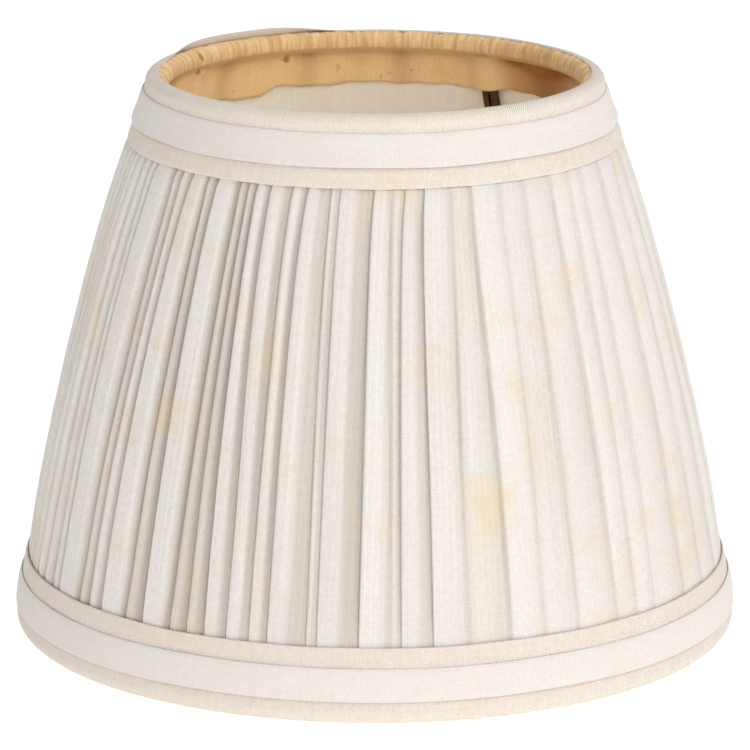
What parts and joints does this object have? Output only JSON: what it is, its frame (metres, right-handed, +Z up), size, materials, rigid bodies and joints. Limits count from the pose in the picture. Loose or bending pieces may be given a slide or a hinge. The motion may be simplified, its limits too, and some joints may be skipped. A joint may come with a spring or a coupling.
{
  "type": "lamp shade",
  "caption": "Small round tapered lamp shade of hand-pleated cotton on a wire frame, trimmed top and bottom, with a sprung wire clip for a candle bulb.",
  "frame": {"origin": "centre of the circle that the shade's bottom edge stands on", "axes": "+Z up the shade's axis towards the narrow end; Y along the crossbar that carries the bulb clip; the jaws open towards +X and -X"},
  "size_m": [0.1424, 0.1424, 0.11],
  "materials": {
    "bronzed_wire": "bronzed steel wire, dulled and rusted",
    "spring_wire": "dull drawn spring steel",
    "brassed_strip": "dull brassed strip",
    "lining_cotton": "greyish cream plain-weave cotton",
    "pleated_cotton": "off-white plain-weave cotton, hand pleated",
    "yellowed_tape": "cotton binding tape, yellowed and spotted with age",
    "beige_braid": "coarse beige twill braid",
    "white_tape": "smooth white plain-weave tape"
  },
  "bodies": {
    "shade": {"top_ring": "bronzed_wire", "bottom_ring": "bronzed_wire", "strut_east": "bronzed_wire", "strut_north": "bronzed_wire", "strut_west": "bronzed_wire", "strut_south": "bronzed_wire", "crossbar": "bronzed_wire", "collar_north": "brassed_strip", "collar_south": "brassed_strip", "lining": "lining_cotton", "outer_cover": "pleated_cotton", "top_binding_tape": "yellowed_tape", "bottom_binding_tape": "yellowed_tape", "top_trim_base": "beige_braid", "bottom_trim_base": "beige_braid", "top_trim_overlay": "white_tape", "bottom_trim_overlay": "white_tape"},
    "clip": {"clip_saddle": "brassed_strip"},
    "east_jaw": {"jaw_east": "spring_wire"},
    "west_jaw": {"jaw_west": "spring_wire"}
  },
  "joints": [
    {"name": "clip_tilt", "type": "hinge", "parent": "shade", "child": "clip", "pos_m": [0, 0, 0.084], "axis": [0, 1, 0], "range_deg": [-20, 20]},
    {"name": "east_jaw_swing", "type": "hinge", "parent": "clip", "child": "east_jaw", "pos_m": [0, 0, 0.084], "axis": [0, -1, 0], "range_deg": [0, 13], "stiffness_Nm_per_rad": 0.05, "springref_deg": -17.19},
    {"name": "west_jaw_swing", "type": "hinge", "parent": "clip", "child": "west_jaw", "pos_m": [0, 0, 0.084], "axis": [0, 1, 0], "range_deg": [0, 13], "stiffness_Nm_per_rad": 0.05, "springref_deg": -17.19}
  ]
}
